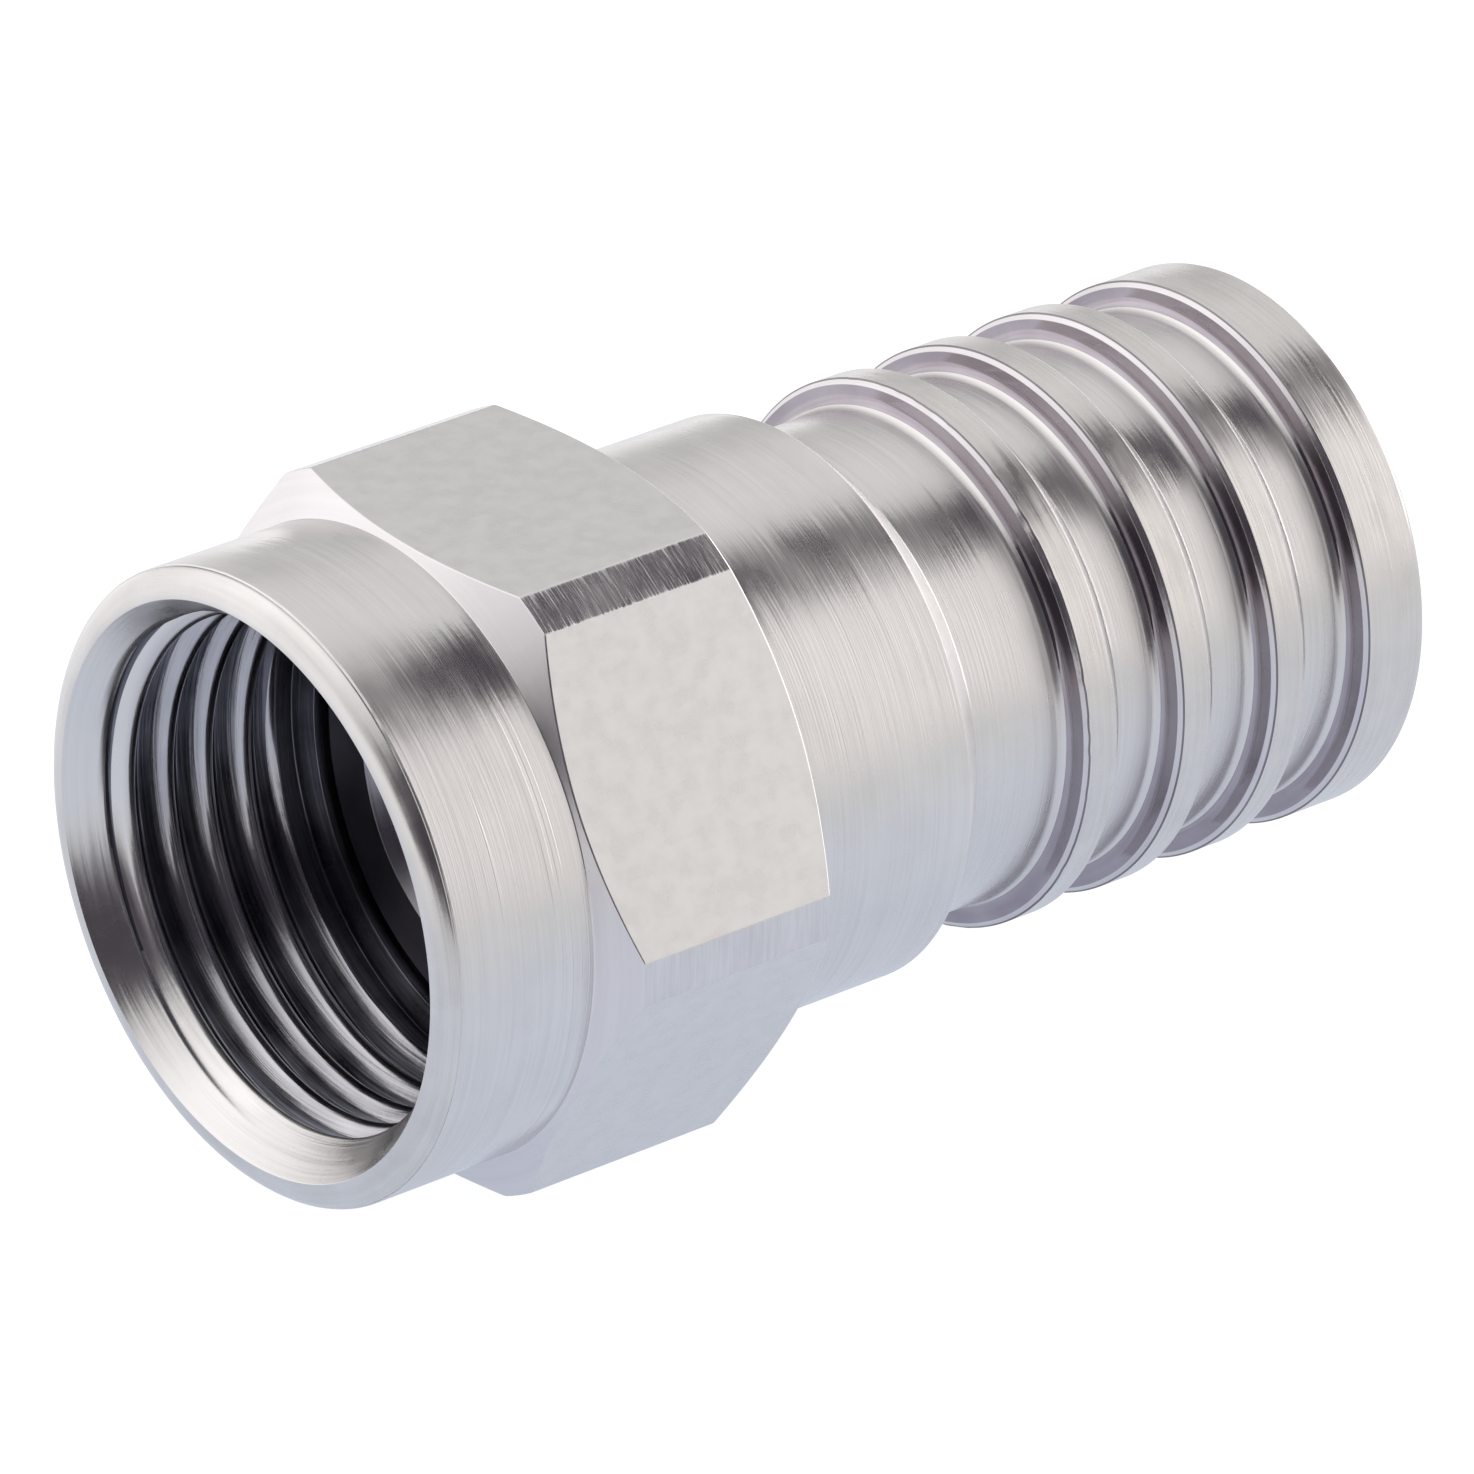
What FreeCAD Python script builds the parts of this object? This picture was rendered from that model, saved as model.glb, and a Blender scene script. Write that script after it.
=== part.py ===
import FreeCAD, Part
import math
import os
import Sketcher

# F-type coaxial crimp connector, in millimetres.
# The connector's axis is the X axis. The nut's mouth faces -X and the cable enters from +X.
# The origin is the centre of the post flange's front face, the plane the mating connector seats on.
# One flat of the hexagon faces up (+Z) and the opposite one faces down.

GROOVE_COUNT = 3

# Driving dimensions
DRIVING = [
    # Coupling nut
    ("across_flats", 11.10, "hexagon, flat to flat (7/16 inch spanner)"),
    ("hex_corner_share", 1.1162, "turned radius of the hexagon's corners, as a share of flat to axis"),
    ("collar_radius", 5.44, "plain round collar in front of the hexagon"),
    ("nut_length", 7.65, "mouth to rear face"),
    ("nut_depth", 4.95, "mouth to the plane the mating connector seats on"),
    ("collar_end", 2.93, "mouth to the start of the hexagon's front chamfer"),
    ("hex_chamfer_angle", 30.0, "front and rear chamfers, degrees from the face"),
    ("rear_face_share", 0.9694, "outside of the nut's flat rear face, as a share of flat to axis"),
    ("lip_back", 0.25, "mouth to the edge between lip rounding and collar"),
    ("lip_round_share", 0.519, "radius of the lip's rounding, as a share of the collar's wall"),
    ("lip_crest_share", 0.566, "where in the wall the lip is most forward, counted from the thread"),
    ("lip_inner_share", 0.519, "inner edge of the lip's flat crest, counted the same way"),
    ("countersink_share", 0.472, "wide end of the countersink, counted the same way"),
    ("countersink_start", 0.13, "mouth to the wide end of the countersink"),
    ("countersink_end", 0.83, "mouth to the narrow end of the countersink"),
    ("thread_minor_radius", 4.38, "bore left by a 3/8-32 UNEF internal thread's crests"),
    ("thread_end", 4.00, "mouth to the end of the threaded bore"),
    ("relief_radius", 4.80, "thread relief groove"),
    ("relief_chamfer", 0.18, "slope at both ends of the relief groove"),
    ("relief_end", 4.80, "mouth to the end of the relief groove"),
    # Post
    ("flange_radius", 4.28, "passes the thread's crests, so that the post goes in from the mouth"),
    ("flange_thickness", 1.10, "flange the nut pulls on"),
    ("flange_edge_chamfer", 0.10, "chamfer at both edges of the flange's rim"),
    ("entry_radius", 3.30, "wide end of the entry cone in the flange"),
    ("post_bore_radius", 2.45, "takes the cable's foil-wrapped dielectric"),
    ("hub_radius", 3.45, "journal the nut turns on, pressed into the sleeve behind it"),
    ("post_tube_radius", 2.85, "thin tube that goes under the braid"),
    ("barb_radius", 3.12, "barb near the tube's end"),
    ("barb_step", 13.00, "seating plane to the barb's sharp front shoulder"),
    ("tube_tip_radius", 2.62, "outside of the tube's end"),
    ("post_length", 14.40, "seating plane to the tube's end"),
    ("tip_chamfer", 0.08, "inside chamfer at the tube's end"),
    # Crimp sleeve
    ("barrel_radius", 4.91, "plain front barrel"),
    ("barrel_end", 3.45, "sleeve front to the shoulder cone"),
    ("barrel_front_chamfer", 0.15, "chamfer at the sleeve's front edge"),
    ("neck_radius", 4.30, "neck, and floor of the grooves"),
    ("rib_radius", 4.79, "crests of the ribs and the end land"),
    ("first_rib", 6.09, "sleeve front to the front edge of the first rib"),
    ("rib_pitch", 2.04, "rib to rib"),
    ("rib_land", 0.58, "width of a rib's flat crest"),
    ("rib_wall_run", 0.09, "slope of a rib's front wall"),
    ("rib_back_run", 0.41, "slope of a rib's rear face"),
    ("rib_root_round", 0.12, "radius at the foot of each rib's front wall"),
    ("sleeve_length", 13.45, "sleeve front to the cable end"),
    ("sleeve_bore_radius", 3.90, "room for the braid and jacket"),
    ("sleeve_web", 1.80, "solid front of the sleeve, pressed on the hub"),
    ("sleeve_mouth_radius", 4.25, "wide end of the lead-in at the cable end"),
    ("sleeve_mouth_run", 0.35, "length of that lead-in"),
    ("sleeve_rim_chamfer", 0.12, "chamfer at the cable end's outer edge"),
    # Named clearances
    ("nut_clearance", 0.05, "radial running clearance of the nut on the hub"),
    ("flange_clearance", 0.12, "radial room round the flange inside the nut"),
    ("end_play", 0.10, "axial room at each side of the nut's inner shoulder"),
]

# Dimensions that follow from the driving ones
DERIVED = [
    ("hex_apothem", "=across_flats / 2"),
    ("hex_corner_radius", "=hex_apothem * hex_corner_share"),
    ("rear_face_radius", "=hex_apothem * rear_face_share"),
    ("hex_front", "=collar_end + (hex_corner_radius - collar_radius) * tan(hex_chamfer_angle * 1deg)"),
    ("hex_rear", "=nut_length - (hex_corner_radius - rear_face_radius) * tan(hex_chamfer_angle * 1deg)"),
    ("collar_wall", "=collar_radius - thread_minor_radius"),
    ("lip_round", "=collar_wall * lip_round_share"),
    ("lip_crest_radius", "=thread_minor_radius + collar_wall * lip_crest_share"),
    ("lip_inner_radius", "=thread_minor_radius + collar_wall * lip_inner_share"),
    ("countersink_radius", "=thread_minor_radius + collar_wall * countersink_share"),
    ("relief_slope_start", "=thread_end + relief_chamfer"),
    ("relief_slope_end", "=relief_end - relief_chamfer"),
    ("flange_bore_radius", "=flange_radius + flange_clearance"),
    ("nut_shoulder", "=nut_depth + flange_thickness + end_play"),
    ("nut_bore_radius", "=hub_radius + nut_clearance"),
    ("nut_rear_plane", "=nut_length - nut_depth"),
    ("sleeve_front_plane", "=nut_rear_plane + end_play"),
    ("entry_depth", "=entry_radius - post_bore_radius"),
    ("hub_end", "=sleeve_front_plane + sleeve_web"),
    ("flange_face_radius", "=flange_radius - flange_edge_chamfer"),
    ("flange_rim_end", "=flange_thickness - flange_edge_chamfer"),
    ("tip_inner_radius", "=post_bore_radius + tip_chamfer"),
    ("tip_chamfer_start", "=post_length - tip_chamfer"),
    ("barrel_front_radius", "=barrel_radius - barrel_front_chamfer"),
    ("shoulder_end", "=barrel_end + barrel_radius - neck_radius"),
    ("rib_height", "=rib_radius - neck_radius"),
    ("rib_wall_tilt", "=atan(rib_wall_run / rib_height)"),
    ("root_reach", "=rib_root_round * tan(45deg - rib_wall_tilt / 2)"),
    ("root_top_radius", "=neck_radius + root_reach * cos(rib_wall_tilt)"),
    ("first_root_top", "=first_rib - rib_wall_run + root_reach * sin(rib_wall_tilt)"),
    ("first_root_floor", "=first_rib - rib_wall_run - root_reach"),
    ("first_rib_back", "=first_rib + rib_land"),
    ("groove_floor_start", "=first_rib_back + rib_back_run"),
    ("second_rib", "=first_rib + rib_pitch"),
    ("second_root_top", "=first_root_top + rib_pitch"),
    ("second_root_floor", "=first_root_floor + rib_pitch"),
    ("groove_top_radius", "=rib_radius + rib_height"),
    ("groove_pattern_length", "=%d * rib_pitch" % (GROOVE_COUNT - 1)),
    ("sleeve_mouth_start", "=sleeve_length - sleeve_mouth_run"),
    ("sleeve_rim_start", "=sleeve_length - sleeve_rim_chamfer"),
    ("sleeve_rim_radius", "=rib_radius - sleeve_rim_chamfer"),
]

doc = FreeCAD.newDocument("f_connector")
sheet = doc.addObject("Spreadsheet::Sheet", "Dimensions")


def fill_sheet():
    row = 1
    for alias, number, note in DRIVING:
        sheet.set("A%d" % row, alias)
        sheet.set("B%d" % row, str(number))
        sheet.set("C%d" % row, note)
        sheet.setAlias("B%d" % row, alias)
        row += 1
    doc.recompute()
    for alias, formula in DERIVED:
        sheet.set("A%d" % row, alias)
        sheet.set("B%d" % row, formula)
        sheet.setAlias("B%d" % row, alias)
        doc.recompute()
        row += 1


def value(alias):
    return float(sheet.get(alias))


def bind(item, path, alias):
    item.setExpression(path, "Dimensions." + alias)


def new_body(label, offset):
    body = doc.addObject("PartDesign::Body", label)
    body.Label = label
    if offset:
        body.setExpression("Placement.Base.x", offset)
    return body


def new_sketch(body, name, role):
    sketch = body.newObject("Sketcher::SketchObject", name)
    plane = [item for item in body.Origin.OriginFeatures if item.Role == role][0]
    sketch.AttachmentSupport = (plane, [""])
    sketch.MapMode = "FlatFace"
    return sketch


def fix_point(sketch, curve, end, along, radius):
    """Hold one corner at its distance along the axis and from the axis."""
    if along is None:
        sketch.addConstraint(Sketcher.Constraint("PointOnObject", curve, end, -2))
    else:
        index = sketch.addConstraint(Sketcher.Constraint("DistanceX", -1, 1, curve, end, value(along)))
        bind(sketch, "Constraints[%d]" % index, along)
    index = sketch.addConstraint(Sketcher.Constraint("DistanceY", -1, 1, curve, end, value(radius)))
    bind(sketch, "Constraints[%d]" % index, radius)


def half_section(body, name, corners, arcs):
    """Closed half section in the XZ plane.

    Each corner is (distance along the axis, distance from it), both by name, None being zero.
    arcs gives, for a side that is an arc, its radius by name and whether the arc's centre
    lies left or right of it as the outline runs.
    """
    sketch = new_sketch(body, name, "XZ_Plane")
    places = [FreeCAD.Vector(0 if a is None else value(a), value(r), 0) for a, r in corners]
    count = len(places)
    heads = []
    tails = []
    for i in range(count):
        start = places[i]
        end = places[(i + 1) % count]
        if i not in arcs:
            sketch.addGeometry(Part.LineSegment(start, end), False)
            heads.append(1)
            tails.append(2)
            continue
        radius_name, side = arcs[i]
        radius = value(radius_name)
        if side == "right":
            start, end = end, start
        chord = end - start
        to_centre = FreeCAD.Vector(-chord.y, chord.x, 0).normalize()
        rise = math.sqrt(radius ** 2 - (chord.Length / 2) ** 2)
        bulge = (start + end) * 0.5 - to_centre * (radius - rise)
        sketch.addGeometry(Part.Arc(start, bulge, end), False)
        heads.append(1 if side == "left" else 2)
        tails.append(2 if side == "left" else 1)
    for i in range(count):
        following = (i + 1) % count
        sketch.addConstraint(Sketcher.Constraint("Coincident", i, tails[i], following, heads[following]))
        fix_point(sketch, i, heads[i], corners[i][0], corners[i][1])
    for i in arcs:
        index = sketch.addConstraint(Sketcher.Constraint("Radius", i, value(arcs[i][0])))
        bind(sketch, "Constraints[%d]" % index, arcs[i][0])
    return sketch


def turn(body, name, sketch, kind):
    """Revolve a half section about the connector's axis, adding or cutting metal."""
    feature = body.newObject(kind, name)
    feature.Profile = sketch
    feature.ReferenceAxis = (sketch, ["H_Axis"])
    feature.Angle = 360.0
    sketch.Visibility = False
    doc.recompute()
    return feature


fill_sheet()

# Coupling nut: turned blank with its bore, then the hexagon's flats
nut = new_body("coupling_nut", "-Dimensions.nut_depth")
nut_section = half_section(
    nut,
    "NutSection",
    [
        ("lip_back", "collar_radius"),
        (None, "lip_crest_radius"),
        (None, "lip_inner_radius"),
        ("countersink_start", "countersink_radius"),
        ("countersink_end", "thread_minor_radius"),
        ("thread_end", "thread_minor_radius"),
        ("relief_slope_start", "relief_radius"),
        ("relief_slope_end", "relief_radius"),
        ("relief_end", "flange_bore_radius"),
        ("nut_shoulder", "flange_bore_radius"),
        ("nut_shoulder", "nut_bore_radius"),
        ("nut_length", "nut_bore_radius"),
        ("nut_length", "rear_face_radius"),
        ("hex_rear", "hex_corner_radius"),
        ("hex_front", "hex_corner_radius"),
        ("collar_end", "collar_radius"),
    ],
    {0: ("lip_round", "left")},
)
nut_blank = turn(nut, "NutBlank", nut_section, "PartDesign::Revolution")

flats_sketch = new_sketch(nut, "HexagonSketch", "YZ_Plane")
corner_reach = value("hex_apothem") / math.cos(math.radians(30))
hex_corners = []
for k in range(6):
    angle = math.radians(60 * k)
    hex_corners.append(FreeCAD.Vector(corner_reach * math.cos(angle), corner_reach * math.sin(angle), 0))
for k in range(6):
    flats_sketch.addGeometry(Part.LineSegment(hex_corners[k], hex_corners[(k + 1) % 6]), False)
guide = flats_sketch.addGeometry(
    Part.Circle(FreeCAD.Vector(0, 0, 0), FreeCAD.Vector(0, 0, 1), corner_reach), True)
outline = flats_sketch.addGeometry(
    Part.Circle(FreeCAD.Vector(0, 0, 0), FreeCAD.Vector(0, 0, 1), value("across_flats")), False)
for k in range(6):
    flats_sketch.addConstraint(Sketcher.Constraint("Coincident", k, 2, (k + 1) % 6, 1))
    flats_sketch.addConstraint(Sketcher.Constraint("PointOnObject", k, 1, guide))
    if k:
        flats_sketch.addConstraint(Sketcher.Constraint("Equal", 0, k))
flats_sketch.addConstraint(Sketcher.Constraint("Coincident", guide, 3, -1, 1))
flats_sketch.addConstraint(Sketcher.Constraint("Coincident", outline, 3, -1, 1))
flats_sketch.addConstraint(Sketcher.Constraint("Horizontal", 1))
index = flats_sketch.addConstraint(Sketcher.Constraint("DistanceY", -1, 1, 1, 1, value("hex_apothem")))
bind(flats_sketch, "Constraints[%d]" % index, "hex_apothem")
index = flats_sketch.addConstraint(Sketcher.Constraint("Radius", outline, value("across_flats")))
bind(flats_sketch, "Constraints[%d]" % index, "across_flats")
flats = nut.newObject("PartDesign::Pocket", "HexagonFlats")
flats.Profile = flats_sketch
flats.Type = "ThroughAll"
flats.Reversed = True
flats_sketch.Visibility = False
nut.Tip = flats
doc.recompute()
if flats.Shape.Volume > nut_blank.Shape.Volume * 0.999:
    raise RuntimeError("the hexagon's flats were not cut")

# Post: flange, hub and barbed tube in one turned piece, bored through
post = new_body("post", "")
post_section = half_section(
    post,
    "PostSection",
    [
        ("flange_edge_chamfer", "flange_radius"),
        (None, "flange_face_radius"),
        (None, "entry_radius"),
        ("entry_depth", "post_bore_radius"),
        ("tip_chamfer_start", "post_bore_radius"),
        ("post_length", "tip_inner_radius"),
        ("post_length", "tube_tip_radius"),
        ("barb_step", "barb_radius"),
        ("barb_step", "post_tube_radius"),
        ("hub_end", "post_tube_radius"),
        ("hub_end", "hub_radius"),
        ("flange_thickness", "hub_radius"),
        ("flange_thickness", "flange_face_radius"),
        ("flange_rim_end", "flange_radius"),
    ],
    {},
)
turn(post, "PostTurned", post_section, "PartDesign::Revolution")

# Crimp sleeve: barrel, neck and ribbed skirt in one turned piece
sleeve = new_body("crimp_sleeve", "Dimensions.sleeve_front_plane")
sleeve_section = half_section(
    sleeve,
    "SleeveSection",
    [
        (None, "hub_radius"),
        ("sleeve_web", "hub_radius"),
        ("sleeve_web", "sleeve_bore_radius"),
        ("sleeve_mouth_start", "sleeve_bore_radius"),
        ("sleeve_length", "sleeve_mouth_radius"),
        ("sleeve_length", "sleeve_rim_radius"),
        ("sleeve_rim_start", "rib_radius"),
        ("first_rib", "rib_radius"),
        ("first_root_top", "root_top_radius"),
        ("first_root_floor", "neck_radius"),
        ("shoulder_end", "neck_radius"),
        ("barrel_end", "barrel_radius"),
        ("barrel_front_chamfer", "barrel_radius"),
        (None, "barrel_front_radius"),
    ],
    {8: ("rib_root_round", "right")},
)
sleeve_turned = turn(sleeve, "SleeveTurned", sleeve_section, "PartDesign::Revolution")

groove_section = half_section(
    sleeve,
    "GrooveSection",
    [
        ("first_rib_back", "rib_radius"),
        ("groove_floor_start", "neck_radius"),
        ("second_root_floor", "neck_radius"),
        ("second_root_top", "root_top_radius"),
        ("second_rib", "rib_radius"),
        ("second_rib", "groove_top_radius"),
        ("first_rib_back", "groove_top_radius"),
    ],
    {2: ("rib_root_round", "left")},
)
groove = turn(sleeve, "RibGroove", groove_section, "PartDesign::Groove")
grooves = sleeve.newObject("PartDesign::LinearPattern", "RibGrooves")
grooves.Originals = [groove]
grooves.Direction = (groove_section, ["H_Axis"])
grooves.Occurrences = GROOVE_COUNT
bind(grooves, "Length", "groove_pattern_length")
groove.Visibility = False
sleeve.Tip = grooves
doc.recompute()
groove_metal = sleeve_turned.Shape.Volume - groove.Shape.Volume
all_metal = sleeve_turned.Shape.Volume - grooves.Shape.Volume
if abs(all_metal - GROOVE_COUNT * groove_metal) > 0.01 * all_metal:
    raise RuntimeError("the grooves between the ribs were not all cut")

# Check every feature, then write the pieces
doc.recompute()
for item in doc.Objects:
    if "Invalid" in item.State or "Error" in item.State:
        raise RuntimeError("%s does not build: %s" % (item.Name, item.State))
    if item.isDerivedFrom("Part::Feature"):
        if item.Shape.isNull() or not item.Shape.isValid():
            raise RuntimeError("%s has no valid shape" % item.Name)
    if item.isDerivedFrom("Sketcher::SketchObject") and not item.FullyConstrained:
        raise RuntimeError("%s is not fully constrained" % item.Name)

os.makedirs("parts", exist_ok=True)
for body in (nut, post, sleeve):
    solids = body.Shape.Solids
    if len(solids) != 1:
        raise RuntimeError("%s is not one solid" % body.Label)
    body.Shape.exportStep("parts/%s.step" % body.Label)
    print("%s: %.2f cubic millimetres" % (body.Label, body.Shape.Volume))
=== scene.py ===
import math

import bpy
import numpy as np
from mathutils import Matrix, Vector


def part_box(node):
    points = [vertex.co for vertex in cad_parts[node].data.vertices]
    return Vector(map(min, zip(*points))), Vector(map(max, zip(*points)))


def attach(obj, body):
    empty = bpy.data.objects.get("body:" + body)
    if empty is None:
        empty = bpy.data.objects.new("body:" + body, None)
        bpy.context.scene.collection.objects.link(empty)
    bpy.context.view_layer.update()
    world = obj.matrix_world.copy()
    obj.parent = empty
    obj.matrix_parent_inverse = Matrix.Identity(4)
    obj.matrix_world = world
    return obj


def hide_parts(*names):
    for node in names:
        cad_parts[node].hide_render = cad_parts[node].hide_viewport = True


# F connector. Lengths are written in millimetres and turned into metres when a mesh is made.
# The connector's axis is X, the nut's mouth faces -X, and a flat of the hexagon faces up (+Z).

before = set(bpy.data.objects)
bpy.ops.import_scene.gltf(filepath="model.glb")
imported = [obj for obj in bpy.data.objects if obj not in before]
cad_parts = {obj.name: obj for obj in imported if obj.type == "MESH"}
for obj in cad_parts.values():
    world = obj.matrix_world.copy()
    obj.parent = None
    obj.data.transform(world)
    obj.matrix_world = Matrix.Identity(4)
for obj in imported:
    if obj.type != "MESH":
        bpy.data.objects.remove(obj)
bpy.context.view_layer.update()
MM = 0.001
# Meshes: segments round the axis, and how roundings are divided
SLEEVE_SEGMENTS = 432
POST_SEGMENTS = 360
SMALL_ROUNDING = 0.06
SMALL_ROUNDING_STEPS = 4
NEXT_SURFACE_FROM = 0.4
NUT_LOW, NUT_HIGH = [Vector(corner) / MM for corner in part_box("coupling_nut")]
SLEEVE_LOW, SLEEVE_HIGH = [Vector(corner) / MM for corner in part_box("crimp_sleeve")]
POST_LOW, POST_HIGH = [Vector(corner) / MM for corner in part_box("post")]

# Coupling nut, distances from its mouth
MOUTH = NUT_LOW.x
NUT_LENGTH = NUT_HIGH.x - NUT_LOW.x
APOTHEM = NUT_HIGH.z
CORNER_RADIUS = NUT_HIGH.y
COLLAR_RADIUS = 5.44
COLLAR_END = 2.93
CHAMFER_SLOPE = math.tan(math.radians(30))
REAR_FACE_RADIUS = 5.38
LIP_BACK = 0.25
LIP_ROUND = 0.55
LIP_CREST = 4.98
LIP_INNER = 4.93
LIP_DROP = 0.015
# Fine groove behind the lip: its deepest place and its end, both from LIP_BACK, and its depth
LIP_GROOVE = (0.012, 0.035)
LIP_GROOVE_DEPTH = 0.045
LIP_GROOVE_WOBBLE = 0.008
# Where the countersink ends, and its radius there
SINK_END = (0.83, 4.38)
THREAD_END = 4.00
# The relief groove's floor, from and to
RELIEF = (4.18, 4.62)
RELIEF_RADIUS = 4.80
RELIEF_END = 4.80
FLANGE_BORE = 4.40
SHOULDER = 6.15
NUT_BORE = 3.50
EDGE_SOFTNESS = 0.02
# Thread 3/8-32. Over the stretch CREST_SHADE_RAMP the crest turns from bright to dull: its colour goes
# from plain nickel near the mouth to a painted shade deeper in the bore
PITCH = 25.4 / 32
THREAD_MINOR = 4.38
THREAD_MAJOR = 4.79
CREST_ROUND = 0.15
ROOT_HALF = 0.048
CREST_AT = 0.231
THREAD_FROM = 0.20
GROOVE_FROM = 0.59
GROOVE_SLOPE = 1.8
THREAD_TO = 4.30
CREST_SHADE_RAMP = (0.80, 1.15)
# Crimp sleeve, distances from its front
SLEEVE_FRONT = SLEEVE_LOW.x
SLEEVE_LENGTH = SLEEVE_HIGH.x - SLEEVE_LOW.x
BARREL_RADIUS = 4.91
BARREL_CHAMFER = 0.15
BARREL_END = 3.45
NECK_RADIUS = 4.30
RIB_RADIUS = 4.79
FIRST_RIB = 6.09
RIB_PITCH = 2.04
RIB_LAND = 0.58
RIB_WALL = 0.09
RIB_BACK = 0.41
RIBS = 4
# Bevel and edge at a rib's front: how far along the axis, and how far in from the rib's radius
RIB_BEVEL = (0.055, 0.10)
RIB_EDGE = (0.02, 0.03)
# Small broken rear edges of the barrel and the ribs, coloured lighter as a painted highlight, and the
# torn front edge of the first rib
REAR_EDGE_HALF = 0.015
REAR_EDGE_DROP = 0.02
TEAR_REACH = 0.06
TEAR_DEPTH = 0.022
SLEEVE_BORE = 3.90
# Lead-in for the cable: its length and its outer radius
SLEEVE_MOUTH = (0.35, 4.25)
WEB = 1.80
HUB_RADIUS = 3.45
# Post, distances from its front face
POST_LENGTH = POST_HIGH.x - POST_LOW.x
FLANGE_RADIUS = POST_HIGH.z
FLANGE_THICK = 1.10
ENTRY_RADIUS = 3.30
POST_BORE = 2.45
HUB_END = 4.60
TUBE_RADIUS = 2.85
# Where the barb begins, and its radius there
BARB = (13.00, 3.12)
TIP_RADIUS = 2.62
TIP_CHAMFER = 0.08


def wobble(angle, *waves):
    """Small unevenness round an edge, from -1 to 1, made of a few waves to the turn."""
    return sum(math.sin(wave * angle + 1.7 * k * k) for k, wave in enumerate(waves)) / len(waves)


def arc(start, end, radius, steps):
    """Points on an arc between two places, with its centre on the left of the way from start to end."""
    start, end = np.array(start), np.array(end)
    chord = end - start
    length = np.linalg.norm(chord)
    left = np.array([-chord[1], chord[0]]) / length
    centre = (start + end) / 2 + left * math.sqrt(radius ** 2 - length ** 2 / 4)
    first = math.atan2(*(start - centre)[::-1])
    turn = 2 * math.asin(length / 2 / radius)
    angles = [first + turn * k / steps for k in range(steps + 1)]
    return [tuple(centre + radius * np.array([math.cos(a), math.sin(a)])) for a in angles]


def outline(corners, closed=True, steps=4):
    """Points of an outline, and the surface that follows each point.

    A corner is (along, radius, rounding, surface that follows it).
    """
    points, surfaces = [], []
    count = len(corners)
    for i, (along, radius, rounding, surface) in enumerate(corners):
        here = np.array([along, radius])
        inner = closed or 0 < i < count - 1
        if rounding <= 0 or not inner:
            points.append((along, radius))
            surfaces.append(surface)
            continue
        before = np.array(corners[i - 1][:2]) - here
        after = np.array(corners[(i + 1) % count][:2]) - here
        before /= np.linalg.norm(before)
        after /= np.linalg.norm(after)
        half = math.acos(np.clip(before @ after, -1, 1)) / 2
        reach = rounding / math.tan(half)
        centre = here + (before + after) / np.linalg.norm(before + after) * rounding / math.sin(half)
        first = here + before * reach - centre
        last = here + after * reach - centre
        span = math.pi - 2 * half
        pieces = steps if rounding > SMALL_ROUNDING else min(steps, SMALL_ROUNDING_STEPS)
        for k in range(pieces + 1):
            share = k / pieces
            blend = first * math.sin((1 - share) * span) + last * math.sin(share * span)
            points.append(tuple(centre + blend / math.sin(span)))
            surfaces.append(surface if share > NEXT_SURFACE_FROM else corners[i - 1][3])
    return points, surfaces


def make_object(name, vertices, faces, kinds, materials):
    """Mesh object from vertices in millimetres. kinds names each face's material."""
    mesh = bpy.data.meshes.new(name)
    mesh.from_pydata([tuple(v * MM) for v in vertices], [], faces)
    names = list(materials)
    for material in materials.values():
        mesh.materials.append(material)
    mesh.polygons.foreach_set("material_index", [names.index(kind) for kind in kinds])
    mesh.polygons.foreach_set("use_smooth", [True] * len(faces))
    mesh.update()
    # A vertex's normal follows its larger faces, so flat faces stay flat beside narrow roundings
    normals, areas = np.empty(3 * len(faces)), np.empty(len(faces))
    mesh.polygons.foreach_get("normal", normals)
    mesh.polygons.foreach_get("area", areas)
    pulls = normals.reshape(-1, 3) * areas[:, None] / MM ** 2
    pulls = np.repeat(pulls, [len(face) for face in faces], axis=0)
    totals = np.zeros((len(vertices), 3))
    np.add.at(totals, [corner for face in faces for corner in face], pulls)
    mesh.normals_split_custom_set_from_vertices(totals / np.linalg.norm(totals, axis=1, keepdims=True))
    piece = bpy.data.objects.new(name, mesh)
    bpy.context.collection.objects.link(piece)
    return piece


def ring_point(along, radius, angle):
    return np.array([along, radius * math.cos(angle), radius * math.sin(angle)])


def turned_object(name, section, offset, segments, materials, shape=None):
    """Closed outline turned about the X axis. shape may move a point, given its angle."""
    points, surfaces = section
    count = len(points)
    vertices = []
    for j in range(segments):
        angle = 2 * math.pi * j / segments
        for along, radius in points:
            if shape:
                along, radius = shape(along, radius, angle)
            vertices.append(ring_point(offset + along, radius, angle))
    faces, kinds = [], []
    for j in range(segments):
        here, there = j * count, (j + 1) % segments * count
        for i in range(count):
            following = (i + 1) % count
            faces.append((here + i, there + i, there + following, here + following))
            kinds.append(surfaces[i])
    return make_object(name, vertices, faces, kinds, materials)


# Nodes


def is_socket(value):
    return isinstance(value, bpy.types.NodeSocket)


def add(tree, kind, settings=None, **inputs):
    """New node. An input is named as its socket, with _ for a space, or as i and the socket's number."""
    made = tree.nodes.new(kind)
    for name, setting in (settings or {}).items():
        setattr(made, name, setting)
    for name, content in inputs.items():
        numbered = name[0] == "i" and name[1:].isdigit()
        socket = made.inputs[int(name[1:])] if numbered else made.inputs[name.replace("_", " ")]
        if is_socket(content):
            tree.links.new(content, socket)
        else:
            socket.default_value = content
    return made


def calculate(tree, operation, first, second):
    return add(tree, "ShaderNodeMath", {"operation": operation}, i0=first, i1=second).outputs[0]


def plus(tree, first, second):
    return calculate(tree, "ADD", first, second)


def minus(tree, first, second):
    return calculate(tree, "SUBTRACT", first, second)


def times(tree, first, second):
    return calculate(tree, "MULTIPLY", first, second)


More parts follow.
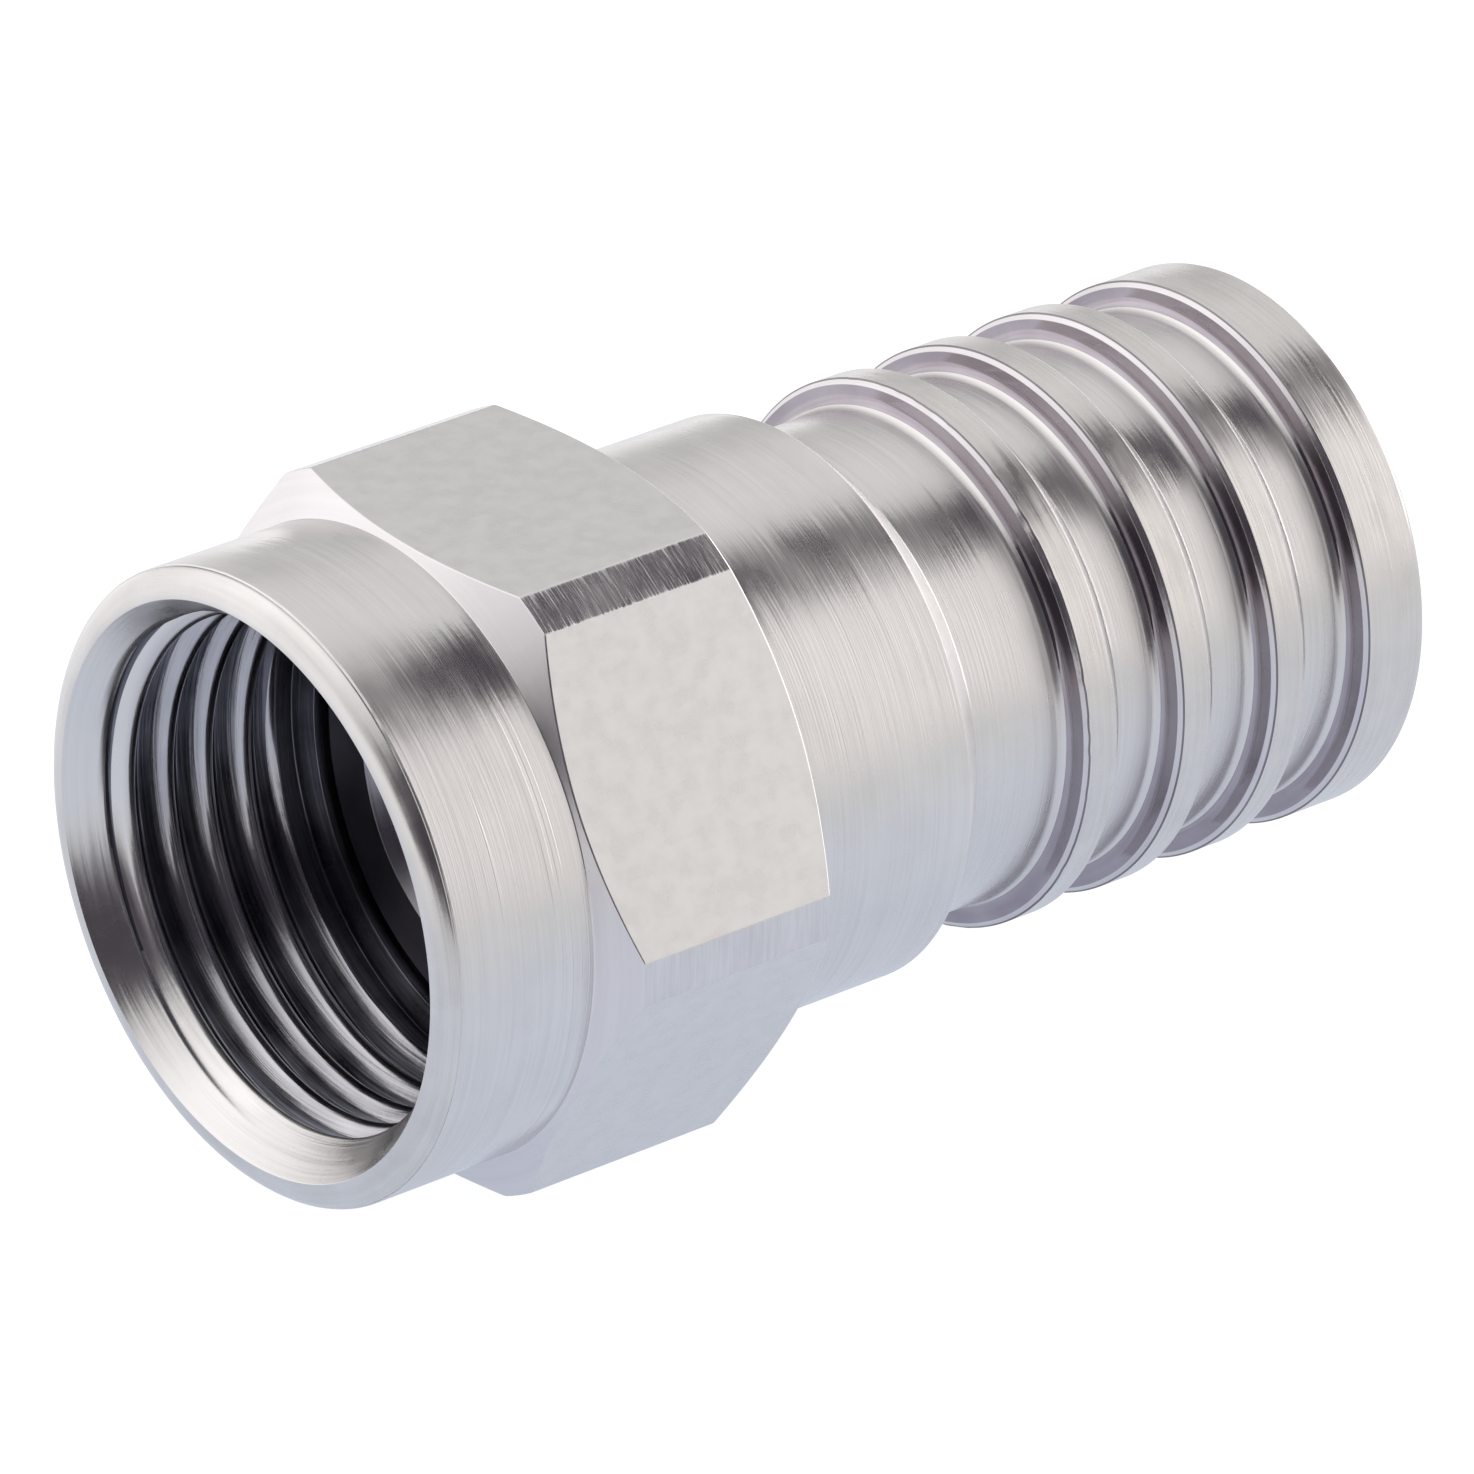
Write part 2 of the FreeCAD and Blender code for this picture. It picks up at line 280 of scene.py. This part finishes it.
def calculate_vector(tree, operation, first, second=(0, 0, 0)):
    return add(tree, "ShaderNodeVectorMath", {"operation": operation}, i0=first, i1=second).outputs[0]


def scaled(tree, vector, factor):
    return add(tree, "ShaderNodeVectorMath", {"operation": "SCALE"}, i0=vector, Scale=factor).outputs[0]


def ramp(tree, value, low, high, to_low=0.0, to_high=1.0):
    made = add(tree, "ShaderNodeMapRange", {"interpolation_type": "SMOOTHSTEP"}, Value=value,
               From_Min=low, From_Max=high, To_Min=to_low, To_Max=to_high)
    return made.outputs["Result"]


def mixed(tree, share, first, second):
    """Colour between two colours."""
    made = add(tree, "ShaderNodeMix", {"data_type": "RGBA"}, Factor=share)
    for socket, colour in ((made.inputs[6], first), (made.inputs[7], second)):
        if is_socket(colour):
            tree.links.new(colour, socket)
        else:
            socket.default_value = (*colour, 1)
    return made.outputs[2]


def between(tree, share, first, second):
    """Number between two numbers."""
    made = add(tree, "ShaderNodeMix", {"data_type": "FLOAT"}, Factor=share)
    for socket, number in ((made.inputs[2], first), (made.inputs[3], second)):
        if is_socket(number):
            tree.links.new(number, socket)
        else:
            socket.default_value = number
    return made.outputs[0]


def noise(tree, place, along, across, detail=2.0, roughness=0.5):
    """Noise with its own number of spots a millimetre along the axis and across it."""
    stretched = calculate_vector(tree, "MULTIPLY", place, (along / MM, across / MM, across / MM))
    made = add(tree, "ShaderNodeTexNoise", {"noise_dimensions": "3D"}, Vector=stretched, Scale=1.0,
               Detail=detail, Roughness=roughness)
    return made.outputs["Fac"]


def new_material(name):
    material = bpy.data.materials.new(name)
    material.use_nodes = True
    tree = material.node_tree
    tree.nodes.clear()
    return material, tree


# Heights of the tool marks in the metal
LATHE_MARK = 0.01
MILL_MARK = 0.006


def nickel(name, bright, dull, roughness, lines=0.35, lean=0.05, scratches=0.0, spots=(0.9, 0.8),
           breaks=0.35, polish=None, near=None):
    """Nickel plate over lathe marks that run round the axis.

    lines is the marks' height, lean how far they tip the surface, and breaks how often to a millimetre
    they break off. spots is how many patches of tone there are to a millimetre, along and across.
    polish is (start, end, roughness at the start, roughness at the end) along the axis, in millimetres,
    and near the colour in front of that start; the thread's crest uses near for painted light by the
    mouth.
    """
    material, tree = new_material(name)
    place = add(tree, "ShaderNodeTexCoord").outputs["Object"]
    fine = noise(tree, place, 30.0, breaks)
    medium = noise(tree, place, 11.0, breaks * 0.6)
    patches = noise(tree, place, *spots, 3.0)
    grain = noise(tree, place, 9.0, 7.0, 3.0, 0.6)
    height = plus(tree, fine, times(tree, grain, 0.35))
    if scratches:
        scratch = ramp(tree, noise(tree, place, 7.0, 0.10, 0.0), 0.66, 0.70)
        height = plus(tree, height, times(tree, scratch, scratches))
    bump = add(tree, "ShaderNodeBump", Strength=lines, Distance=LATHE_MARK * MM, Height=height).outputs[0]
    normal = add(tree, "ShaderNodeNewGeometry").outputs["Normal"]
    round_way = calculate_vector(tree, "CROSS_PRODUCT", (1, 0, 0), normal)
    round_way = calculate_vector(tree, "NORMALIZE", round_way)
    both = plus(tree, times(tree, fine, 1.5), times(tree, medium, 0.5))
    leaning = scaled(tree, round_way, times(tree, minus(tree, both, 1.0), lean))
    shading_normal = calculate_vector(tree, "NORMALIZE", calculate_vector(tree, "ADD", bump, leaning))
    streaks = times(tree, plus(tree, fine, medium), 0.3)
    tone = plus(tree, streaks, times(tree, patches, 0.4))
    colour = mixed(tree, ramp(tree, tone, 0.3, 0.7), dull, bright)
    rough = ramp(tree, patches, 0.3, 0.7, roughness * 0.88, roughness * 1.15)
    if polish:
        start, end, rough_start, rough_end = polish
        stretch = (start * MM, end * MM)
        along = add(tree, "ShaderNodeSeparateXYZ", Vector=place).outputs["X"]
        change = ramp(tree, along, *stretch, rough_start / roughness, rough_end / roughness)
        rough = times(tree, rough, change)
        if near:
            colour = mixed(tree, ramp(tree, along, *stretch), near, colour)
    tangent = add(tree, "ShaderNodeTangent", {"direction_type": "RADIAL", "axis": "X"}).outputs[0]
    surface = add(tree, "ShaderNodeBsdfPrincipled", Base_Color=colour, Metallic=1.0, Roughness=rough,
                  Anisotropic=0.4, Anisotropic_Rotation=0.25, Normal=shading_normal, Tangent=tangent)
    add(tree, "ShaderNodeOutputMaterial", Surface=surface.outputs[0])
    return material


def milled_nickel(name, bright, dull, roughness):
    """Nickel plate over the hexagon's milled flats."""
    material, tree = new_material(name)
    place = add(tree, "ShaderNodeTexCoord").outputs["Object"]
    brushing = noise(tree, place, 2.0, 12.0, 1.0)
    mottle = noise(tree, place, 3.0, 3.0, 2.0)
    height = plus(tree, times(tree, brushing, 0.3), mottle)
    bump = add(tree, "ShaderNodeBump", Strength=0.12, Distance=MILL_MARK * MM, Height=height)
    tone = plus(tree, times(tree, brushing, 0.2), times(tree, mottle, 0.8))
    colour = mixed(tree, ramp(tree, tone, 0.3, 0.7), dull, bright)
    rough = ramp(tree, mottle, 0.3, 0.7, roughness * 0.88, roughness * 1.12)
    surface = add(tree, "ShaderNodeBsdfPrincipled", Base_Color=colour, Metallic=1.0, Roughness=rough,
                  Normal=bump.outputs[0])
    add(tree, "ShaderNodeOutputMaterial", Surface=surface.outputs[0])
    return material


NUT_MATERIALS = {
    "collar": nickel("nut_collar_nickel", (0.71, 0.69, 0.68), (0.62, 0.60, 0.595), 0.3, lean=0.09,
                     scratches=0.5, polish=(MOUTH + 0.6, MOUTH + 2.7, 0.34, 0.20)),
    "lip": nickel("nut_lip_nickel", (0.67, 0.65, 0.64), (0.56, 0.54, 0.53), 0.26, lines=0.2,
                  spots=(1.5, 1.2)),
    "mouth": nickel("nut_mouth_nickel", (0.71, 0.69, 0.68), (0.64, 0.62, 0.615), 0.28, lines=0.2,
                    lean=0.12),
    "cone": nickel("nut_cone_nickel", (0.71, 0.68, 0.69), (0.65, 0.62, 0.63), 0.3, lines=0.15,
                   lean=0.02),
    "stock": nickel("nut_stock_nickel", (0.70, 0.68, 0.68), (0.58, 0.56, 0.57), 0.24, lines=0.5,
                    lean=0.3, breaks=1.4),
    "flat": milled_nickel("nut_flat_nickel", (0.69, 0.675, 0.665), (0.64, 0.625, 0.615), 0.30),
    # Thread crest: darkened nickel, painted shade in the bore, lighter than the flanks as a painted
    # highlight, and plain nickel near the mouth
    "crest": nickel("thread_crest_painted_light_and_shade", (0.50, 0.49, 0.51), (0.33, 0.32, 0.35), 0.2, lines=0.4,
                    lean=0.1, polish=(MOUTH + CREST_SHADE_RAMP[0], MOUTH + CREST_SHADE_RAMP[1], 0.28, 0.2),
                    near=(0.69, 0.67, 0.66)),
    # Thread flanks, roots and the bore behind the thread: near-black nickel, painted shade in the grooves
    # and the bore
    "thread": nickel("thread_flank_painted_shade", (0.26, 0.26, 0.30), (0.06, 0.06, 0.075), 0.3, lines=0.6,
                     lean=0.2),
}
SLEEVE_MATERIALS = {
    "body": nickel("body_nickel_turned", (0.71, 0.69, 0.68), (0.62, 0.60, 0.59), 0.28, lean=0.11),
    "rib": nickel("rib_nickel_turned", (0.70, 0.675, 0.66), (0.60, 0.575, 0.56), 0.28, lean=0.17,
                  spots=(2.2, 1.4)),
    # Root rounding and front wall of each rib: dark purplish nickel, painted shade at the ribs' roots
    "groove": nickel("groove_painted_shade", (0.42, 0.385, 0.42), (0.30, 0.265, 0.295), 0.10, lines=0.2,
                     lean=0.03),
    "bevel": nickel("rib_bevel_nickel", (0.66, 0.63, 0.645), (0.56, 0.53, 0.545), 0.2),
    # Rear edges of the barrel and the lands: lighter nickel, a painted highlight line
    "rear_edge_highlight": nickel("rear_edge_painted_highlight", (0.82, 0.80, 0.79), (0.74, 0.72, 0.71), 0.55, lines=0.2),
    # Rib's front edge: near-black nickel, a painted line of shade
    "edge": nickel("rib_edge_painted_shade_line", (0.28, 0.26, 0.27), (0.16, 0.14, 0.16), 0.35),
}
POST_MATERIALS = {
    # Post: darkened nickel, painted shade for a part seen only deep inside the nut and the sleeve
    "post": nickel("post_nickel_painted_shade", (0.34, 0.32, 0.36), (0.24, 0.23, 0.26), 0.3),
}


# Coupling nut


FLAT_HALF = math.degrees(math.acos(APOTHEM / CORNER_RADIUS))


def nut_angles():
    """Angles of the nut's mesh columns, close together at the edges of the hexagon's flats."""
    near = (-0.8, -0.4, -0.2, -0.1, 0.0, 0.1, 0.2, 0.4, 0.8)
    margin = 1.3
    over_flat = np.linspace(-FLAT_HALF + margin, FLAT_HALF - margin, 46)
    over_corner = np.linspace(FLAT_HALF + margin, 60 - FLAT_HALF - margin, 5)
    sector = [FLAT_HALF + d for d in near] + list(over_corner) + [60 - FLAT_HALF + d for d in near]
    sector = list(over_flat) + sector
    return sorted(math.radians((30 + 60 * k + a) % 360) for k in range(6) for a in sector)


def from_flat_middle(angle):
    """Degrees from the middle of the nearest flat. The middles are 30, 90, 150 ... degrees from +Y."""
    return math.degrees(angle) % 60 - 30


def hexagon_radius(angle):
    """Distance from the axis to a flat or a turned-down corner, with a soft edge between."""
    flat = APOTHEM / math.cos(math.radians(from_flat_middle(angle)))
    blend = min(max(0.5 + 0.5 * (CORNER_RADIUS - flat) / EDGE_SOFTNESS, 0), 1)
    return CORNER_RADIUS * (1 - blend) + flat * blend - EDGE_SOFTNESS * blend * (1 - blend)


def sink_radius(along):
    """The bore without its thread: countersink, thread crests and relief groove."""
    places = [0, SINK_END[0], THREAD_END, RELIEF[0], RELIEF[1]]
    radii = [LIP_INNER, SINK_END[1], THREAD_MINOR, RELIEF_RADIUS, RELIEF_RADIUS]
    return float(np.interp(along, places, radii))


def thread_rows():
    """Rows across one pitch of thread from a crest to the next, as (distance from the crest, radius)."""
    crest = [(CREST_ROUND * math.sin(a), THREAD_MINOR + CREST_ROUND * (1 - math.cos(a)))
             for a in np.radians([0, 15, 30, 45, 60])]
    root = (PITCH / 2 - ROOT_HALF, THREAD_MAJOR)
    flank = tuple((np.array(crest[-1]) + np.array(root)) / 2)
    rising = crest + [flank, root]
    falling = [(PITCH - along, radius) for along, radius in rising[:0:-1]]
    return rising + [(PITCH / 2, THREAD_MAJOR)] + falling


def nut_column(angle):
    """Section of the nut at one angle, from the countersink round the outside to the relief groove."""
    radius = hexagon_radius(angle)
    front = COLLAR_END + (radius - COLLAR_RADIUS) * CHAMFER_SLOPE
    rear = NUT_LENGTH - (radius - REAR_FACE_RADIUS) * CHAMFER_SLOPE
    uneven = LIP_GROOVE_WOBBLE * wobble(angle, 23, 41, 67, 89)
    lip = arc((LIP_BACK, COLLAR_RADIUS - LIP_DROP), (0, LIP_CREST), LIP_ROUND, 12)[::-1]
    corners = [(THREAD_FROM, sink_radius(THREAD_FROM), 0, "mouth"), (0, LIP_INNER, 0.02, "lip")]
    corners += [(*point, 0, "lip") for point in lip]
    corners += [
        (LIP_BACK + LIP_GROOVE[0] + uneven, COLLAR_RADIUS - LIP_GROOVE_DEPTH, 0, "collar"),
        (LIP_BACK + LIP_GROOVE[1] + uneven, COLLAR_RADIUS, 0.01, "collar"),
        (COLLAR_END, COLLAR_RADIUS, 0.03, "cone"),
        (front, radius, 0.04, "hexagon"),
        (rear, radius, 0.05, "cone"),
        (NUT_LENGTH, REAR_FACE_RADIUS, 0.04, "cone"),
        (NUT_LENGTH, NUT_BORE, 0.05, "cone"),
        (SHOULDER, NUT_BORE, 0, "cone"),
        # The shoulder, flange bore and relief groove take the thread's darkened colour, painted shade
        (SHOULDER, FLANGE_BORE, 0.03, "thread"),
        (RELIEF_END, FLANGE_BORE, 0.03, "thread"),
        (RELIEF[1], RELIEF_RADIUS, 0.03, "thread"),
        (THREAD_TO, RELIEF_RADIUS, 0, "thread"),
    ]
    return outline(corners, closed=False)


def build_nut():
    angles = nut_angles()
    rows = thread_rows()
    # The crest and the upper half of the flank that faces the mouth get the crest's lighter colour, a
    # painted highlight against the painted shade of the other thread rows
    crest_rows = list(range(4)) + list(range(len(rows) - 5, len(rows)))
    turns = math.ceil((THREAD_TO - THREAD_FROM) / PITCH) + 1
    vertices, columns, countersunk = [], [], set()
    for angle in angles:
        points, surfaces = nut_column(angle)
        column = []
        for along, radius in points:
            column.append(len(vertices))
            vertices.append(ring_point(MOUTH + along, radius, angle))
        # The thread is right-handed: its rows go one pitch towards +X in a turn from +Y to +Z
        thread = []
        # Rows in front of the thread or behind it shrink to the column's first or last point
        for turn in range(-2, turns):
            for from_crest, row_radius in rows:
                along = CREST_AT + PITCH * (turn + angle / (2 * math.pi)) + from_crest
                if along <= THREAD_FROM:
                    thread.append(column[0])
                    countersunk.add(column[0])
                elif along >= THREAD_TO:
                    thread.append(column[-1])
                else:
                    thread.append(len(vertices))
                    if along < GROOVE_FROM:
                        countersunk.add(len(vertices))
                    plain_radius = sink_radius(along)
                    # The groove deepens gradually behind the countersink
                    depth = max(along - GROOVE_FROM, 0) * GROOVE_SLOPE
                    cut = min(row_radius, plain_radius + depth)
                    vertices.append(ring_point(MOUTH + along, max(plain_radius, cut), angle))
        columns.append((column, thread))
    faces, kinds = [], []

    def add_face(corners, kind):
        kept = [corner for i, corner in enumerate(corners) if corner != corners[i - 1]]
        if len(kept) >= 3 and len(set(kept)) == len(kept):
            faces.append(tuple(kept))
            kinds.append(kind)

    count = len(angles)
    tolerance = 0.05
    for j in range(count):
        other = (j + 1) % count
        column, thread = columns[j]
        other_column, other_thread = columns[other]
        off_middle = max(abs(from_flat_middle(angles[side])) for side in (j, other))
        hexagon = "flat" if off_middle < FLAT_HALF + tolerance else "stock"
        for i in range(len(column) - 1):
            kind = hexagon if surfaces[i] == "hexagon" else surfaces[i]
            add_face((column[i], other_column[i], other_column[i + 1], column[i + 1]), kind)
        # Past the last column the rows have gone once round, so each meets the one a pitch further on
        step = len(rows) if j == count - 1 else 0
        for k in range(len(thread) - 1):
            near = min(k + step, len(thread) - 1)
            far = min(k + 1 + step, len(thread) - 1)
            kind = "crest" if k % len(rows) in crest_rows else "thread"
            if countersunk.issuperset((thread[k], other_thread[near])):
                kind = "mouth"
            add_face((thread[k], thread[k + 1], other_thread[far], other_thread[near]), kind)
    nut = make_object("nut_turned", vertices, faces, kinds, NUT_MATERIALS)
    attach(nut, "nut")
    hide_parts("coupling_nut")


# Crimp sleeve


def uneven_rib(along, radius, angle):
    """The first rib's front edge is slightly torn, so it is uneven."""
    if abs(along - FIRST_RIB) < TEAR_REACH and radius > RIB_RADIUS - TEAR_REACH:
        along -= TEAR_DEPTH * max(0, wobble(angle, 9, 31, 47, 71))
    return along, radius


def build_sleeve():
    corners = [
        (0, HUB_RADIUS, 0, "body"),
        (0, BARREL_RADIUS - BARREL_CHAMFER, 0.04, "body"),
        (BARREL_CHAMFER, BARREL_RADIUS, 0.06, "body"),
        # The barrel's broken rear edge carries a painted highlight
        (BARREL_END - REAR_EDGE_HALF, BARREL_RADIUS, 0.01, "rear_edge_highlight"),
        (BARREL_END + REAR_EDGE_DROP, BARREL_RADIUS - REAR_EDGE_DROP, 0.01, "rear_edge_highlight"),
        (BARREL_END + BARREL_RADIUS - NECK_RADIUS, NECK_RADIUS, 0.10, "body"),
    ]
    for k in range(RIBS):
        front = FIRST_RIB + k * RIB_PITCH
        corners += [
            # The root rounding and the wall in front of the rib are darkened with painted shade
            (front - RIB_WALL, NECK_RADIUS, 0.25, "groove"),
            (front - RIB_BEVEL[0], RIB_RADIUS - RIB_BEVEL[1], 0.04, "bevel"),
            # A thin facet at the rib's front edge is darkened, a painted shade line
            (front, RIB_RADIUS - RIB_EDGE[1], 0.01, "edge"),
            (front + RIB_EDGE[0], RIB_RADIUS, 0.01, "rib"),
        ]
        if k < RIBS - 1:
            corners += [
                # The land's broken rear edge carries a painted highlight
                (front + RIB_LAND - REAR_EDGE_HALF, RIB_RADIUS, 0.01, "rear_edge_highlight"),
                (front + RIB_LAND + REAR_EDGE_HALF, RIB_RADIUS - REAR_EDGE_DROP, 0.01, "rear_edge_highlight"),
                (front + RIB_LAND + RIB_BACK, NECK_RADIUS, 0.15, "body"),
            ]
    corners += [
        (SLEEVE_LENGTH, RIB_RADIUS, 0.12, "body"),
        (SLEEVE_LENGTH, SLEEVE_MOUTH[1], 0.05, "body"),
        (SLEEVE_LENGTH - SLEEVE_MOUTH[0], SLEEVE_BORE, 0.05, "body"),
        (WEB, SLEEVE_BORE, 0, "body"),
        (WEB, HUB_RADIUS, 0, "body"),
    ]
    section = outline(corners, steps=8)
    sleeve = turned_object("sleeve_turned", section, SLEEVE_FRONT, SLEEVE_SEGMENTS, SLEEVE_MATERIALS,
                           uneven_rib)
    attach(sleeve, "plug")
    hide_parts("crimp_sleeve")


# Post


def build_post():
    corners = [
        (0, ENTRY_RADIUS, 0.03, "post"),
        (0, FLANGE_RADIUS, 0.10, "post"),
        (FLANGE_THICK, FLANGE_RADIUS, 0.10, "post"),
        (FLANGE_THICK, HUB_RADIUS, 0, "post"),
        (HUB_END, HUB_RADIUS, 0, "post"),
        (HUB_END, TUBE_RADIUS, 0.05, "post"),
        (BARB[0], TUBE_RADIUS, 0, "post"),
        (BARB[0], BARB[1], 0.02, "post"),
        (POST_LENGTH, TIP_RADIUS, 0.03, "post"),
        (POST_LENGTH, POST_BORE + TIP_CHAMFER, 0.02, "post"),
        (POST_LENGTH - TIP_CHAMFER, POST_BORE, 0, "post"),
        (ENTRY_RADIUS - POST_BORE, POST_BORE, 0.05, "post"),
    ]
    post = turned_object("post_turned", outline(corners), POST_LOW.x, POST_SEGMENTS, POST_MATERIALS)
    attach(post, "plug")
    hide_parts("post")


build_nut()
build_sleeve()
build_post()


# Floor, surroundings and camera


def build_floor():
    """Pale floor under the connector. White to the camera, a little cooler in the metal."""
    half = 3000 * MM
    mesh = bpy.data.meshes.new("floor")
    corners = [(-half, -half), (half, -half), (half, half), (-half, half)]
    mesh.from_pydata([(x, y, -APOTHEM * MM) for x, y in corners], [], [(0, 1, 2, 3)])
    floor = bpy.data.objects.new("floor", mesh)
    bpy.context.collection.objects.link(floor)
    material, tree = new_material("pale_floor")
    place = scaled(tree, add(tree, "ShaderNodeTexCoord").outputs["Object"], 1 / MM)
    distance = add(tree, "ShaderNodeVectorMath", {"operation": "LENGTH"}, i0=place).outputs["Value"]
    backwards = add(tree, "ShaderNodeVectorMath", {"operation": "DOT_PRODUCT"}, i0=place,
                    i1=(-0.5, 0.87, 0)).outputs["Value"]
    near_colour = mixed(tree, ramp(tree, distance, 10, 45), (0.62, 0.68, 0.79), (0.66, 0.68, 0.70))
    far_colour = mixed(tree, ramp(tree, distance, 60, 400), near_colour, (0.82, 0.80, 0.79))
    lit = mixed(tree, ramp(tree, backwards, 3, 40), far_colour, (1.1, 1.09, 1.1))
    shade = add(tree, "ShaderNodeBsdfDiffuse", Color=(0.22, 0.22, 0.22, 1))
    to_camera = add(tree, "ShaderNodeEmission", Color=(1, 1, 1, 1), Strength=0.94)
    to_metal = add(tree, "ShaderNodeEmission", Color=lit, Strength=1.0)
    path = add(tree, "ShaderNodeLightPath")
    glow = add(tree, "ShaderNodeMixShader", Fac=path.outputs["Is Camera Ray"], i1=to_metal.outputs[0],
               i2=to_camera.outputs[0])
    both = add(tree, "ShaderNodeAddShader", i0=shade.outputs[0], i1=glow.outputs[0])
    add(tree, "ShaderNodeOutputMaterial", Surface=both.outputs[0])
    mesh.materials.append(material)


def build_surroundings():
    """White studio walls with a dark gap overhead and a dark side towards -X and -Y.

    x, y and z are the parts of the direction that a ray leaves in.
    """
    world = bpy.data.worlds.new("studio")
    world.use_nodes = True
    bpy.context.scene.world = world
    tree = world.node_tree
    tree.nodes.clear()
    way = add(tree, "ShaderNodeSeparateXYZ", Vector=add(tree, "ShaderNodeTexCoord").outputs["Generated"])
    x, y, z = way.outputs["X"], way.outputs["Y"], way.outputs["Z"]
    # Back wall and ceiling panel, brighter on the left, where the panel also reaches further forward
    on_left = ramp(tree, x, 0.4, -0.4)
    high = calculate(tree, "MAXIMUM", minus(tree, z, 0.25), 0)
    reach = times(tree, times(tree, high, 0.96), on_left)
    past_edge = plus(tree, minus(tree, y, 0.12), reach)
    left_light = ramp(tree, past_edge, -0.1, 0.8, 0.8, 1.5)
    right_light = ramp(tree, z, 0.25, 0.68, 0.66, 0.94)
    panel_light = between(tree, on_left, right_light, left_light)
    panel = ramp(tree, past_edge, -0.08, 0.06)
    # Softbox on the right, brighter towards +X, which meets the back wall low down
    low = calculate(tree, "MAXIMUM", minus(tree, 0.62, z), 0)
    box_edge = minus(tree, times(tree, low, 1.3), ramp(tree, x, 0.62, 0.78, 0.33, 0))
    past_box = minus(tree, y, box_edge)
    box = times(tree, ramp(tree, past_box, 0.05, -0.08), ramp(tree, x, 0.12, 0.42))
    box_light = ramp(tree, x, 0.64, 0.87, 0.98, 2.8)
    back = scaled(tree, (1.0, 1.0, 1.0), panel_light)
    side = scaled(tree, (1.0, 0.975, 0.965), box_light)
    gap = (0.068, 0.058, 0.074)
    colour = mixed(tree, panel, gap, back)
    colour = mixed(tree, box, colour, side)
    path = add(tree, "ShaderNodeLightPath")
    seen = mixed(tree, path.outputs["Is Camera Ray"], colour, (1, 1, 1))
    light = add(tree, "ShaderNodeBackground", Color=seen, Strength=1.0)
    add(tree, "ShaderNodeOutputWorld", Surface=light.outputs[0])


def build_camera():
    """Long lens, seen from the nut's side and above."""
    image_size = 1474
    focal_length_px = 13500
    place = Vector((-120.18, -150.82, 107.05))
    aim = Vector((3.521, -2.147, 1.099))
    roll = math.radians(-1.85)
    forward = (aim - place).normalized()
    right = forward.cross(Vector((0, 0, 1))).normalized()
    up = right.cross(forward)
    rolled_up = up * math.cos(roll) + right * math.sin(roll)
    rolled_right = right * math.cos(roll) - up * math.sin(roll)
    data = bpy.data.cameras.new("camera")
    data.sensor_width = 36.0
    data.lens = focal_length_px / image_size * data.sensor_width
    data.clip_start = 1 * MM
    camera = bpy.data.objects.new("camera", data)
    turn = Matrix((rolled_right, rolled_up, -forward)).transposed().to_4x4()
    camera.matrix_world = Matrix.Translation(place * MM) @ turn
    bpy.context.collection.objects.link(camera)
    bpy.context.scene.camera = camera


build_floor()
build_surroundings()
build_camera()
bpy.context.scene.view_settings.view_transform = "Standard"
